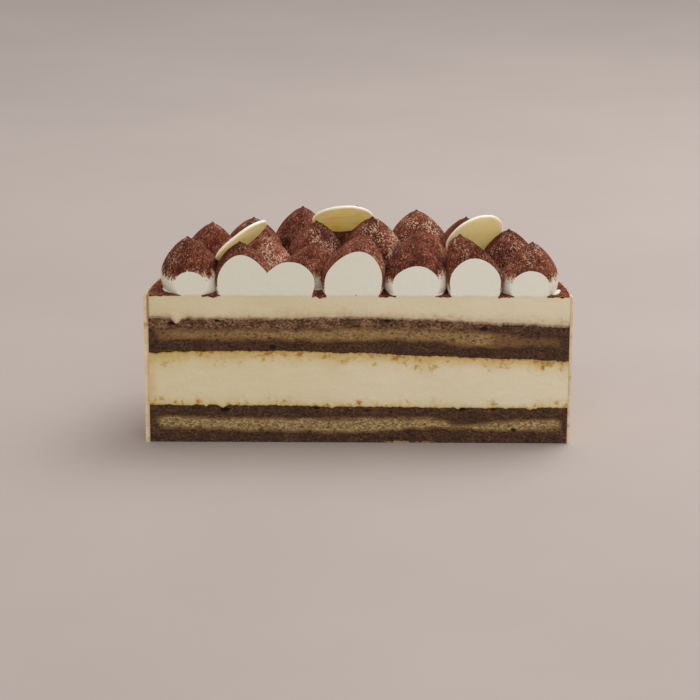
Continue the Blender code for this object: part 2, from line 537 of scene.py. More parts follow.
@dataclass(frozen=True)
class SpongeFinish:
    """Moist coffee sponge: pale in its core, dark where it is soaked, darker still in its pores, where the shade is
    painted.
    """

    pale: Colour = (0.535, 0.380, 0.176)
    tan: Colour = (0.270, 0.172, 0.066)
    amber: Colour = (0.200, 0.090, 0.026)
    soaked: Colour = (0.118, 0.053, 0.026)
    # deep is the darkest soaked crumb and also painted shade in soaked pores; hollow and the last colour are painted
    # shade in pores and large holes.
    deep: Colour = (0.038, 0.016, 0.008)
    brown: Colour = (0.082, 0.033, 0.014)
    bloom: Colour = (0.330, 0.175, 0.092)
    edge: Colour = (0.380, 0.250, 0.155)
    cream: Colour = (0.44, 0.28, 0.12)
    hole_shadow: Colour = (0.016, 0.012, 0.010)
    hollow: Colour = (0.095, 0.052, 0.023)
    speck: Colour = (0.290, 0.175, 0.100)
    warm: Colour = (0.310, 0.172, 0.056)

    def material(self) -> bpy.types.Material:
        """Builds the material from the stored soak, pit, bloom, edge, smear and warm.

        Returns:
            The material.
        """
        graph = Graph("coffee_sponge")
        crumb = graph.grain(0.00095, 3.0, (1.5, 1.0, 1.0))
        fine = graph.grain(0.00045, 2.0)
        patches = graph.grain(0.0045, 2.0, (1.6, 1.0, 1.0))
        mixed = crumb * 0.72 + fine * 0.28
        warm, pit = graph.stored("warm"), graph.stored("pit")
        bloom = graph.stored("bloom").rising(0.1, 0.9)
        soak = (graph.stored("soak") + crumb.swing(0.45) + patches.swing(0.45)).rising(0.05, 0.95)
        # The pale core.
        core = graph.blend(mixed.rising(0.43, 0.60), self.tan, self.pale)
        core = graph.blend(warm * 0.45, core, self.warm)
        # The soaked bands, with a paler bloom along the upper one's top.
        dark = graph.blend((mixed * 0.8 + patches * 0.2).rising(0.38, 0.62), self.deep, self.soaked)
        dark = graph.blend(warm * 0.18, dark, self.deep)
        top = graph.blend((mixed * 0.65 + patches * 0.35).rising(0.43, 0.61), self.brown, self.bloom)
        dark = graph.blend(bloom, dark, top)
        specks = fine * 0.4 + graph.grain(0.0011, 1.0) * 0.6 + patches.swing(0.3) + bloom * 0.03
        dark = graph.blend(specks.rising(0.57, 0.70) * 0.5, dark, self.speck)
        graph.colour = graph.blend(soak, core, dark)
        graph.paint(soak * (1.0 - soak) * 2.4, self.amber)
        # Pores by painted shade and relief, then painted shade in the holes that the mesh has, black in the large
        # ones.
        often = patches.rising(0.40, 0.60)
        large = graph.pores(0.0023, 0.10, 0.26, (1.2, 1.0, 1.0)) * often
        small = graph.pores(0.0010, 0.10, 0.36, (1.3, 1.0, 1.0)) * (1.2 - often)
        holes = (large * (0.6 + bloom * 0.6)).most(small * (0.38 + bloom * 0.3))
        holes = pit.rising(0.30, 1.0).most(holes)
        graph.paint(holes * 0.68, graph.blend(soak.rising(0.3, 0.8), self.hollow, self.deep))
        graph.paint(pit.rising(1.0, 1.6) * 0.9, self.hole_shadow)
        # Cream on its edges.
        graph.paint((graph.stored("edge") + crumb.swing(1.1) + fine.swing(0.8)).rising(0.15, 1.0), self.edge)
        smear = (graph.stored("smear") + crumb.swing(0.9) + patches.swing(1.3)).rising(0.45, 0.80)
        graph.paint(smear * 0.9, self.cream)
        relief = crumb + fine * 0.6 - small * 0.4 - large * 0.7
        return graph.finish(0.78, 0.25, relief, 0.0005)


@dataclass(frozen=True)
class CutCreamFinish:
    """Set cream on the knife cut, with coffee bleeding into it beside the sponges."""

    name: str
    cream: Colour
    pale: Colour
    coffee: Colour = (0.370, 0.155, 0.026)
    tan: Colour = (0.610, 0.430, 0.140)
    marks: float = 1.0

    def material(self) -> bpy.types.Material:
        """Builds the material from the stored bleed, line and warmth.

        Returns:
            The material.
        """
        graph = Graph(self.name)
        broad = graph.grain(0.022, 2.0, (2.0, 1.0, 1.0))
        fine = graph.grain(0.0009, 3.0)
        blobs = graph.grain(0.0021, 3.0, (1.2, 1.0, 1.0))
        # Paler towards the right: partly the cream's own colour and partly painted light from the right.
        rightward_light_and_tint = (graph.axis(0) * 4.0 + 0.5 + broad.swing(1.2)).rising(0.0, 1.0)
        graph.colour = graph.blend(rightward_light_and_tint, self.cream, self.pale)
        graph.paint((graph.stored("warmth") * (0.5 + broad)).rising(0.0, 1.1), self.tan)
        bleed = graph.stored("bleed")
        graph.paint((bleed * (0.25 + blobs * 1.6 + fine.swing(0.8))).rising(0.0, 0.90) * 0.95, self.tan)
        # Coffee has run into the cream in clusters of small clots with a tan rim.
        clots = bleed * 0.24 + graph.grain(0.0021, 2.5) + graph.grain(0.0065, 1.0).swing(0.8)
        near = bleed.rising(0.08, 0.34) * self.marks
        graph.paint(clots.rising(0.60, 0.78) * near * 0.9, self.tan)
        spots = clots.rising(0.70, 0.90) * near * (0.35 + fine)
        line = (graph.stored("line") + fine.swing(0.6)).rising(0.30, 1.1)
        graph.paint(spots.most(line * 0.75), self.coffee)
        graph.paint(graph.grain(0.0015, 1.0).rising(0.80, 0.86) * (0.35 * self.marks), self.coffee)
        return graph.finish(0.5, 0.35, fine * 0.5 + graph.grain(0.004, 2.0), 0.0003)


@dataclass(frozen=True)
class SkinFinish:
    """The spread skin of cream round the outside, with a few tan stains."""

    cream: Colour = (0.71, 0.53, 0.31)
    pale: Colour = (0.79, 0.64, 0.43)
    tan: Colour = (0.46, 0.25, 0.10)
    coffee: Colour = (0.35, 0.15, 0.026)

    def material(self) -> bpy.types.Material:
        """Builds the material from the stored seam.

        Returns:
            The material.
        """
        graph = Graph("spread_cream")
        broad = graph.grain(0.012, 2.0, (1.0, 1.0, 0.5))
        graph.colour = graph.blend(broad.rising(0.3, 0.7), self.cream, self.pale)
        graph.paint(graph.grain(0.0035, 3.0).rising(0.58, 0.72) * 0.7, self.tan)
        graph.paint(graph.stored("seam"), self.coffee)
        return graph.finish(0.5, 0.35, graph.grain(0.003, 3.0, (2.0, 2.0, 0.4)), 0.0003)


@dataclass(frozen=True)
class CocoaFinish:
    """Dry cocoa powder."""

    name: str = "cocoa_dust"
    dark: Colour = (0.058, 0.0128, 0.0068)
    light: Colour = (0.205, 0.057, 0.031)
    bright: Colour = (0.42, 0.178, 0.110)

    def tones(self, graph: Graph, grains: Signal) -> bpy.types.NodeSocket:
        """The powder's colour: dark and light grains in soft patches, with a few brighter ones.

        Args:
            graph: The material's nodes.
            grains: The grains' noise.

        Returns:
            The colour's socket.
        """
        # The stored tone lightens or darkens the grains, partly as painted light.
        tone = graph.stored("tone")
        patches = graph.grain(0.0055, 2.0)
        mixed = grains * 0.68 + patches * 0.32 + tone
        colour = graph.blend(mixed.rising(0.37, 0.63), self.dark, self.light)
        bright = (graph.grain(0.0009, 1.0) + patches.swing(0.5) + tone * 0.6).rising(0.60, 0.74)
        return graph.blend(bright * 0.9, colour, self.bright)

    def material(self) -> bpy.types.Material:
        """Builds the material for the powder alone.

        Returns:
            The material.
        """
        graph = Graph(self.name)
        graph.colour = self.tones(graph, graph.grain(0.0009, 2.0))
        return graph.finish(0.95, 0.03, graph.grain(0.0005, 3.0), 0.0004)


@dataclass(frozen=True)
class DustedCreamFinish:
    """Piped cream with cocoa over it, where the stored cover says, broken by thin winding pale flecks."""

    cream: Colour = (0.79, 0.755, 0.64)
    tinted: Colour = (0.62, 0.39, 0.25)
    fleck: Colour = (0.70, 0.47, 0.33)
    thin: Colour = (0.370, 0.130, 0.052)
    cocoa: CocoaFinish = CocoaFinish()

    def material(self) -> bpy.types.Material:
        """Builds the material: the grains lie in streaks that run down from the tip.

        Returns:
            The material.
        """
        graph = Graph("dusted_cream")
        way = graph.direction("streak")
        grains = graph.grain(0.00070, 2.0, (1.0, 1.0, 1.9), way)
        flecks = graph.grain(0.0015, 2.0, (1.0, 1.0, 1.8), way)
        powder = graph.grain(0.00065, 2.0)
        bare = (grains * 0.35 + powder * 0.35 + flecks * 0.30).rising(0.35, 0.65)
        amount = graph.stored("cover")
        cover = (amount * 1.10 - bare).rising(-0.08, 0.14)
        graph.colour = graph.blend((amount + flecks.swing(0.6)).rising(0.10, 0.62), self.cream, self.tinted)
        tones = self.cocoa.tones(graph, grains)
        graph.paint(cover, graph.blend((amount - bare * 0.3).rising(0.15, 0.75), self.thin, tones))
        # Thin lines follow the level where this noise crosses its middle.
        level = graph.grain(0.0018, 1.5) - 0.5
        winding = 1.0 - (level * level).rising(0.0003, 0.0028)
        shown = graph.stored("fleck") * 0.9 + powder.swing(2.2) + (flecks - 0.5)
        graph.paint(winding * shown.rising(0.12, 0.85) * 0.9, self.fleck)
        return graph.finish(0.55 + cover * 0.4, 0.08, (grains * 0.6 + powder * 0.4) * cover, 0.0006)


@dataclass(frozen=True)
class SlicedKissFinish:
    """The smooth white face that the knife leaves on a kiss, yellower where it meets the cream below."""

    cream: Colour = (0.765, 0.738, 0.615)
    pale: Colour = (0.805, 0.785, 0.680)
    foot: Colour = (0.72, 0.63, 0.44)

    def material(self) -> bpy.types.Material:
        """Builds the material: paler to the right.

        Returns:
            The material.
        """
        graph = Graph("sliced_kiss")
        height = graph.axis(2) + graph.grain(0.006, 2.0).swing(0.002)
        paler_right = graph.blend((graph.axis(0) * 10.0).rising(-0.4, 0.5), self.cream, self.pale)
        above = height.rising(SIZES.stack - 0.0004, SIZES.stack + 0.0011)
        graph.colour = graph.blend(above, self.foot, paler_right)
        return graph.finish(0.5, 0.35, graph.grain(0.003, 2.0), 0.0002)


@dataclass(frozen=True)
class ChocolateFinish:
    """White chocolate: deep yellow faces with faint streaks, partly its own colour and partly painted shade and glow,
    and a pale rim painted as the lit edge.
    """

    name: str
    face: Colour
    streak: Colour
    glow: float
    rim: Colour = (0.80, 0.74, 0.62)
    speck: Colour = (0.55, 0.24, 0.08)
    reach: Colour = (1.0, 0.85, 0.62)

    def material(self) -> bpy.types.Material:
        """Builds the material from the stored rim.

        Returns:
            The material.
        """
        graph = Graph(self.name)
        streaks = graph.grain(0.0022, 3.0, (3.5, 1.2, 1.0))
        graph.colour = graph.blend(streaks.rising(0.42, 0.72), self.face, self.streak)
        specks = graph.grain(0.0010, 1.0) + graph.grain(0.007, 1.0).swing(0.5)
        graph.paint(specks.rising(0.74, 0.82) * 0.55, self.speck)
        # Painted light: the rim is painted pale as the edge that the light falls on.
        graph.paint(graph.stored("rim"), self.rim)
        light = {"Subsurface Weight": self.glow, "Subsurface Radius": self.reach, "Subsurface Scale": 0.004}
        return graph.finish(0.38, 0.45, graph.grain(0.0012, 2.0), 0.00012, light)


@dataclass(frozen=True)
class FloorFinish:
    """A plain pale floor with hardly any mottling."""

    light: Colour = (0.412, 0.352, 0.324)
    dark: Colour = (0.394, 0.336, 0.309)

    def material(self) -> bpy.types.Material:
        """Builds the material.

        Returns:
            The material.
        """
        graph = Graph("pale_floor")
        graph.colour = graph.blend(graph.grain(0.16, 4.0).rising(0.3, 0.7), self.dark, self.light)
        return graph.finish(0.9, 0.5)


# Layers on the cut ----------------------------------------------------------------------------------


@dataclass
class LayerSlab:
    """One layer: its cut face is a fine grid, and the rest is drawn back from it to the round side."""

    node: str
    material: bpy.types.Material
    low: Joint
    high: Joint
    seed: int
    slot: Slot = Slot.SPONGE
    kind: str = "crumb"
    cell: float = 0.00029
    inset: float = 0.0
    tuck: float = 0.0

    def relief(self, x: np.ndarray, foot: np.ndarray, top: np.ndarray) -> tuple[np.ndarray, Numbers]:
        """Shapes and colours the cut face."""
        raise NotImplementedError

    def build(self) -> None:
        """Makes the layer and hands it to the frame."""
        left, right = SIZES.ends()
        columns = round((right - left) / self.cell)
        rows = round((self.high.height(0) - self.low.height(0) + 2 * self.tuck) / self.cell)
        obj, across, share = grid(f"{self.node}_{self.kind}", columns, rows)
        x = left + across * (right - left)
        steps, column = np.unique(np.round(across * columns).astype(int), return_inverse=True)
        middles = left + steps / columns * (right - left)
        under, over = self.low.edge(middles), self.high.edge(middles)
        low = under - self.tuck * (self.low is not Joint.FLOOR)
        high = over + self.tuck * (self.high is not Joint.TOP)
        z = low[column] + share * (high - low)[column]
        depth, numbers = self.relief(x, z - under[column], over[column] - z)
        set_positions(obj, points(x, SIZES.cut_y + self.inset + depth, z))
        self.draw_back(obj, (share == 0) | (share == 1))
        spare = np.zeros(len(obj.data.vertices) - len(x))
        for key, values in numbers.items():
            store(obj, key, np.concatenate([values, spare]))
        dress(obj, 60, self.material)
        place(obj, self.slot, self.node)

    def draw_back(self, obj: bpy.types.Object, rim: np.ndarray) -> None:
        """Extrudes the face's lower and upper edges back to the round side, and closes the slab.

        Args:
            obj: The slab, so far only its cut face.
            rim: True for each vertex on the lower or upper edge.
        """
        mark(obj, rim)
        with editing(obj, "EDGE"):
            bpy.ops.mesh.extrude_edges_move(TRANSFORM_OT_translate={"value": (0, 0.001, 0)})
        places = positions(obj)
        back = places[len(rim):]
        # A hair inside the skin, and never quite in one plane with the cut where the round side meets it.
        reach = SIZES.radius - SIZES.skin_at(back[:, 0]) - 0.0001
        back[:, 1] = SIZES.middle_y + np.sqrt(np.maximum(reach**2 - back[:, 0] ** 2, 0.0012**2))
        set_positions(obj, places)
        mark(obj, np.arange(len(places)) >= len(rim))
        with editing(obj, "EDGE"):
            bpy.ops.mesh.bridge_edge_loops()
            bpy.ops.mesh.select_all(action="SELECT")
            bpy.ops.mesh.fill_holes(sides=0)
        tidy_normals(obj)


@dataclass(frozen=True)
class Hole:
    """One large pore on a cut face, in mm: its place, its half width and half height, and its depth."""

    across: float
    up: float
    wide: float
    tall: float
    deep: float


@dataclass
class SpongeLayer(LayerSlab):
    """A coffee sponge with real pores, soaked dark along its faces and its ends."""

    core_low: Sequence[float] = ()
    core_high: Sequence[float] = ()
    core_pale: Sequence[float] = (1.0, 1.0)
    holes: Sequence[Hole] = ()
    bloom: float = 0.0
    smear: tuple[float, float] | None = None
    small_pores: int = 3600
    soft: float = 0.0005

    def pores(self, x: np.ndarray, z: np.ndarray) -> list[tuple[float, ...]]:
        """Draws many small flat pores, and adds the large holes.

        Args:
            x: Places across the cake.
            z: Heights.

        Returns:
            For each pore its place, half width, half height and depth in metres.
        """
        rng = random.Random(self.seed)
        pores = []
        for _ in range(self.small_pores):
            across = rng.uniform(x.min(), x.max())
            up = rng.uniform(z.min(), z.max())
            size = min(rng.lognormvariate(-1.40, 0.42), 0.62) * MM
            pores.append((across, up, size * rng.uniform(1.0, 1.9), size, size * rng.uniform(0.5, 1.2)))
        return pores + [tuple(MM * measure for measure in astuple(hole)) for hole in self.holes]

    def core_share(self, x: np.ndarray, z: np.ndarray) -> np.ndarray:
        """How much places on the cut belong to the pale core.

        Args:
            x: Places across the cake.
            z: Heights.

        Returns:
            From 0 to 1 for each place.
        """
        left, right = SIZES.ends()
        wobble = 0.0009 * uneven(points(x / 0.007, self.seed, z / 0.003), 1.0, 0.0)
        above, below = z - MM * along(self.core_low, x), MM * along(self.core_high, x) - z
        gaps = (above, below, (x - left - 0.0036) * 0.6, (right - 0.0036 - x) * 0.6)
        # The least of the four gaps, with soft corners.
        inside = -self.soft * np.log(sum(np.exp(-gap / self.soft) for gap in gaps)) + wobble
        return rise(inside, -0.0016, 0.0019) * along(self.core_pale, x)

    def press_pores(self, x: np.ndarray, z: np.ndarray, depth: np.ndarray) -> np.ndarray:
        """Presses the pores into the face.

        Args:
            x: Places across the cake.
            z: Heights.
            depth: How far the face goes in at each place, which is deepened here.

        Returns:
            How much of a pore each place is: up to 1, or up to 2 in a large hole, where the finish paints black
                shade.
        """
        pit = np.zeros_like(x)
        order = np.argsort(x)
        sorted_x = x[order]
        for across, up, wide, tall, deep in self.pores(x, z):
            start, stop = np.searchsorted(sorted_x, (across - 1.3 * wide, across + 1.3 * wide))
            near = order[start:stop]
            near = near[np.abs(z[near] - up) < 1.3 * tall]
            dx, dz = (x[near] - across) / wide, (z[near] - up) / tall
            wave = 1 + 0.22 * np.cos(3 * np.arctan2(dz, dx) + across * 9e3)
            hollow = np.sqrt(np.clip(1 - (dx**2 + dz**2) * wave, 0, 1))
            depth[near] = np.maximum(depth[near], hollow * deep)
            pit[near] = np.maximum(pit[near], hollow * (2.0 if deep > 0.00105 and tall > 0.00065 else 1.0))
        return pit

    def relief(self, x: np.ndarray, foot: np.ndarray, top: np.ndarray) -> tuple[np.ndarray, Numbers]:
        """Rounds the edges, presses the pores in and works out the colours' numbers.

        Args:
            x: Places across the cake.
            foot: How far each place is above the joint below.
            top: How far each place is under the joint above.

        Returns:
            How far the face goes in at each place, and the numbers to store there.
        """
        z = foot + self.low.edge(x)
        depth = 0.00022 * (1 - rise(np.minimum(foot + (self.low is Joint.FLOOR), top), 0.0, 0.0005))
        pit = self.press_pores(x, z, depth)
        spots = points(x, 0.0, z)
        depth += 0.00010 * (1 + uneven(spots, 0.0014, 3.0 + self.seed))
        bloom = self.bloom * (1 - rise(top, 0.0042, 0.0068)) * (0.75 + 0.5 * uneven(spots, 0.009, 5.0))
        bloom *= 1 - 0.65 * rise(x, 0.045, 0.070)
        edge = self.bloom * (1 - rise(top, 0.0, 0.0014 + 0.0006 * uneven(spots, 0.008, 15.0)))
        smear = np.zeros_like(x)
        if self.smear:
            start, stop = self.smear
            along_it = rise(x, start * MM, (start + 9) * MM) * (1 - rise(x, (stop - 16) * MM, stop * MM))
            tall = 0.0005 + 0.0011 * along_it + 0.0006 * uneven(spots * (1, 1, 0), 0.005, 8.0)
            smear = along_it * (1 - rise(z, 0.4 * tall, 1.1 * tall)) * (0.75 + 0.5 * uneven(spots, 0.0035, 18.0))
        numbers = {"soak": 1 - self.core_share(x, z), "warm": np.full_like(x, self.bloom)}
        return depth, {**numbers, "pit": pit, "bloom": bloom, "edge": edge, "smear": smear}


@dataclass
class CreamLayer(LayerSlab):
    """Smooth cream between the sponges, stained where coffee has bled into it."""

    slot: Slot = Slot.CREAM
    kind: str = "set"
    cell: float = 0.00045
    inset: float = 0.00004
    tuck: float = 0.0004
    bleed_below: float = 0.0
    bleed_above: float = 0.0
    left_warmth: float = 0.0
    left_line: float = 0.0
    line_width: float = 0.0011

    def relief(self, x: np.ndarray, foot: np.ndarray, top: np.ndarray) -> tuple[np.ndarray, Numbers]:
        """Leaves faint knife waves, tucks the edges behind the sponges and works out the colours' numbers.

        Args:
            x: Places across the cake.
            foot: How far each place is above the joint below.
            top: How far each place is under the joint above.

        Returns:
            How far the face goes in at each place, and the numbers to store there.
        """
        spots = points(x, 0.0, foot)
        depth = 0.00006 * (1 + uneven(points(x / 3, 0.0, foot), 0.003, 4.0 + self.seed)) * rise(top, -0.0002, 0.0015)
        above = top if self.high is not Joint.TOP else np.ones_like(x)
        depth += 0.0007 * (1 - rise(np.minimum(foot, above), -0.0005, 0.0))
        patches = uneven(spots * (1, 1, 0.3), 0.011, 21.0 + self.seed)
        hanging = np.exp(-np.maximum(above, 0) / (0.0036 + 0.0024 * patches))
        rising = np.exp(-np.maximum(foot, 0) / (0.0027 + 0.0017 * patches))
        bleed = np.maximum(self.bleed_below * hanging, self.bleed_above * rising)
        from_left = x - SIZES.ends()[0]
        line = np.maximum.reduce([
            self.bleed_below * (1 - rise(above, 0.0, self.line_width)),
            self.bleed_above * (1 - rise(foot, 0.0, self.line_width)),
            self.left_line * (1 - rise(from_left, 0.0003, 0.0009)),
        ])
        side = 1 - rise(from_left, 0.0, 0.007 + 0.004 * uneven(spots, 0.013, 31.0))
        warmth = self.left_warmth * side + 0.42 * self.bleed_below * (1 - rise(above, 0.0, 0.0085))
        return depth, {"bleed": bleed, "line": line, "warmth": warmth}


# The skin of cream and the cocoa on the flat top ----------------------------------------------------


@dataclass
class CreamSkin:
    """The thin spread skin round the outside, from the table to a soft lip above the top."""

    material: bpy.types.Material
    lip: float = 0.0004
    rows: int = 72
    steps: int = 230
    section: float = 0.002
    edge_round: float = 0.0013
    unevenness: float = 0.00025

    def build(self) -> None:
        """Spins a thin section through half a turn, then thickens, rounds and roughens it."""
        height = SIZES.stack + self.lip
        obj, across, up = grid("cream_skin", 4, self.rows)
        base = SIZES.radius - self.section
        set_positions(obj, points(base + self.section * across, SIZES.middle_y, up * height))
        with editing(obj, "FACE"):
            bpy.ops.mesh.select_all(action="SELECT")
            bpy.ops.mesh.spin(steps=self.steps, angle=math.pi, center=(0, SIZES.middle_y, 0), axis=(0, 0, 1))
        x, y, z = positions(obj).T
        # The spin may turn towards the front, so the half circle is laid towards the back here.
        y = np.abs(y - SIZES.middle_y)
        angle = np.arctan2(y, x)
        share = (np.hypot(x, y) - base) / self.section
        skin = SIZES.skin_at(np.cos(angle) * SIZES.radius)
        spread = points(angle * SIZES.radius / 4, 0.0, z)
        waves = 0.00022 * (1 + uneven(spread, 0.006, 2.0)) * rise(share, 0.3, 1.0) * rise(np.sin(angle), 0.0, 0.2)
        corner = np.clip((z - (height - self.edge_round)) / self.edge_round, 0, 1)
        rounding = self.edge_round * (1 - np.sqrt(1 - corner**2)) * rise(share, 0.2, 1.0) * 0.9
        radius = SIZES.radius - skin * (1 - share) - waves - rounding
        lip = uneven(points(angle * SIZES.radius, share, share), 0.007, 6.0) - 1
        z = z + self.unevenness * lip * rise(z, height - 0.003, height)
        ends = np.maximum(radius * np.sin(angle), SIZES.cut_y - SIZES.middle_y)
        set_positions(obj, points(radius * np.cos(angle), SIZES.middle_y + ends, z))
        tidy_normals(obj)
        inner = 1 - rise(share, 0.1, 0.5)
        seam = inner * rise(z, 0.050, 0.063) * (np.cos(angle) < 0)
        store(obj, "seam", np.maximum(seam, 0.40 * inner))
        dress(obj, 50, self.material)
        place(obj, Slot.SKIN, "cream_coat")


@dataclass
class CocoaLayer:
    """Cocoa powder lying on the flat top between the kisses."""

    material: bpy.types.Material
    width: float = 0.194
    length: float = 0.098
    cell: float = 0.0008
    thickness: float = 0.00035
    margin: float = 0.0004

    def build(self) -> None:
        """Lays a grid over the top, frays its edge and closes it underneath."""
        columns, rows = round(self.width / self.cell), round(self.length / self.cell)
        obj, across, back = grid("cocoa_layer", columns, rows)
        left, right = SIZES.ends(self.margin)
        x = left + across * (right - left)
        rim = SIZES.radius - SIZES.skin_at(x) - self.margin + 0.0002
        reach = np.sqrt(np.maximum(rim**2 - x**2, 0.0015**2))
        edge = points(x, reach, 0.0)
        fray = 0.0005 * uneven(edge, 0.0016, 4.0) + 0.0004 * uneven(edge, 0.006, 7.0)
        front = 1 - rise(back, 0.0, 0.02)
        under_kiss = np.zeros_like(x)
        for start, stop in (kiss.cut_span() for kiss in KISSES):
            inside = rise(x, start - 0.0002, start + 0.0006) * (1 - rise(x, stop - 0.0006, stop + 0.0002))
            under_kiss = np.maximum(under_kiss, inside)
        bare = 1 - under_kiss
        # The first row hangs over the cut's edge, straight below the second.
        row = np.round(back * rows)
        y = SIZES.cut_y - 0.00014 * bare + 0.0012 * under_kiss * front
        y += np.maximum(row - 1, 0) / (rows - 1) * (reach + fray - 0.0002)
        spots = points(x, y, 0.0)
        taper = rise(np.minimum(back, 1 - back) * reach, 0.0, 0.0012)
        hills = 0.55 + 0.25 * uneven(spots, 0.0028, 1.0) + 0.2 * uneven(spots, 0.0011, 5.0)
        z = SIZES.stack + self.thickness * (0.25 + taper * hills)
        spill = 0.00015 + 0.0012 * np.clip(uneven(edge * (1, 0, 1), 0.0019, 3.0) + 0.15, 0, 1)
        z -= (row == 0) * (bare * spill + 0.00006)
        set_positions(obj, points(x, np.maximum(y, SIZES.middle_y), z))
        count = len(x)
        mark(obj, (across == 0) | (across == 1) | (back == 0) | (back == 1))
        with editing(obj, "EDGE"):
            bpy.ops.mesh.extrude_edges_move(TRANSFORM_OT_translate={"value": (0, 0, -0.0004)})
        places = positions(obj)
        places[count:, 2] = np.minimum(SIZES.stack - 0.0001, places[count:, 2] + 0.0003)
        set_positions(obj, places)
        mark(obj, np.arange(len(places)) >= count)
        with editing(obj, "EDGE"):
            bpy.ops.mesh.edge_face_add()
        tidy_normals(obj)
        dress(obj, 60, self.material)
        place(obj, Slot.COCOA)


# Kisses ---------------------------------------------------------------------------------------------


@dataclass(frozen=True)
class Kiss:
    """One piped kiss, in mm from the middle of the cut.

    After the lean come how far down the cocoa reaches, how much cream shows through it, how far the
    knife's edge is rounded over, and which way the barest side faces in degrees (0 is right, 90 is back).
    With an upright front, only what lies behind the cut leans across, and its lowest part stays put. The
    tone makes its cocoa lighter, or darker where it is below 0, partly the cocoa's own tone and partly
    painted light for how brightly each kiss is lit; the fade slope ends the cocoa higher up on the right
    than on the left.
    """

    name: str
    across: float
    depth: float
    radius: float
    height: float
    lean_across: float
    lean_back: float
    fade: float = 6.0
    speckle: float = 0.3
    rounding: float = 0.5
    bare_side: float = 300.0
    upright_front: bool = False
    tone: float = 0.0
    fade_slope: float = 0.0

    @property
    def foot(self) -> np.ndarray:
        """The middle of its foot, a little way into the cream."""
        return np.array(Vector((self.across * MM, SIZES.middle_y + self.depth * MM, SIZES.stack - 0.0004)))

    def lean(self, up: np.ndarray, back: np.ndarray) -> tuple[np.ndarray, np.ndarray]:
        """How far its body is drawn over towards its tip.

        Args:
            up: Heights above its foot.
            back: Places before the lean, from the middle of its foot towards the back.

        Returns:
            The shift across and the shift back.
        """
        share = np.clip(up / (self.height * MM), 0, 1)
        across = share**2
        if self.upright_front:
            across = rise(share, 0.30, 0.85) * np.clip(back / (self.depth * MM) + 1, 0, 1)
        return self.lean_across * MM * across, self.lean_back * MM * share**2

    def cut_span(self) -> tuple[float, float]:
        """Where its foot starts and stops on the knife's cut, or two equal numbers if it isn't cut."""
        half = math.sqrt(max((self.radius * 0.91) ** 2 - self.depth**2, 0.0))
        return (self.across - half) * MM, (self.across + half) * MM


KISSES = (
    Kiss("kiss_outer_1", -77.7, 12.5, 14.6, 24.8, -2.3, 3.3, 10.0, 0.4, 0.45, 200, tone=-0.05),
    Kiss("kiss_outer_2", -70.0, 36.6, 14.0, 26.4, 0.7, 0.4, 5.5, 0.4, 0.5, 320, tone=0.01),
    Kiss("kiss_outer_3", -50.8, 60.2, 14.4, 22.8, 0.3, 0.3, 5.5, 0.3),
    Kiss("kiss_outer_4", -27.5, 74.5, 13.8, 24.9, 0.5, 0.0, 5.0, 0.3),
    Kiss("kiss_outer_5", -1.0, 77.0, 14.0, 24.6, 0.4, 0.0, 5.5, 0.3),
    Kiss("kiss_outer_6", 29.3, 74.5, 14.3, 23.3, -0.9, 0.0, 6.0, 0.9, 0.5, 320, tone=0.03),
    Kiss("kiss_outer_7", 52.3, 60.1, 13.8, 23.5, -0.2, 0.0, 5.5, 0.2),
    Kiss("kiss_outer_8", 71.4, 35.2, 13.6, 24.0, 0.0, -0.1, 5.5, 0.7, 0.5, 300),
    Kiss("kiss_outer_9", 79.9, 10.0, 13.7, 23.2, 1.4, 4.4, 9.5, 0.6, 0.7, 300),
    Kiss("kiss_middle_1", -53.2, 6.4, 13.8, 24.8, -2.0, 0.6, 5.0, 0.5, 0.25, 300, tone=0.02),
    Kiss("kiss_middle_2", -44.2, 28.6, 13.5, 22.0, 0.0, 0.4, 6.0, 1.25, 0.5, 290, tone=0.13),
    Kiss("kiss_middle_3", -20.3, 47.0, 14.0, 24.5, 0.3, 0.3, 7.0, 1.0, 0.5, 310, tone=0.01),
    Kiss("kiss_middle_4", 6.5, 43.0, 16.0, 27.8, 0.2, 0.0, 9.0, 1.1, 0.5, 330),
    Kiss("kiss_middle_5", 28.5, 34.6, 14.8, 23.3, 2.7, 0.4, 6.0, 0.4, tone=0.02),
    Kiss("kiss_middle_6", 54.2, 5.6, 13.3, 27.2, -7.1, 7.2, 5.0, 0.5, 0.3, 290, upright_front=True, tone=-0.02),
    Kiss("kiss_inner_1", -32.2, -9.8, 15.8, 24.5, 0.0, -1.0, 5.0, 0.2, 0.25, 300, tone=-0.02),
    Kiss("kiss_inner_2", -23.5, 21.0, 13.4, 20.8, 4.5, 1.0, 8.0, 0.4, 0.4, 340),
    Kiss("kiss_inner_3", 26.6, 10.9, 15.6, 24.8, 0.6, 4.2, 9.5, 0.3, 0.45, 180, tone=-0.045, fade_slope=2.0),
    Kiss("kiss_centre", -2.8, 6.5, 15.1, 28.2, 5.5, 2.9, 5.5, 0.4, 0.25, 320, tone=0.03),
)


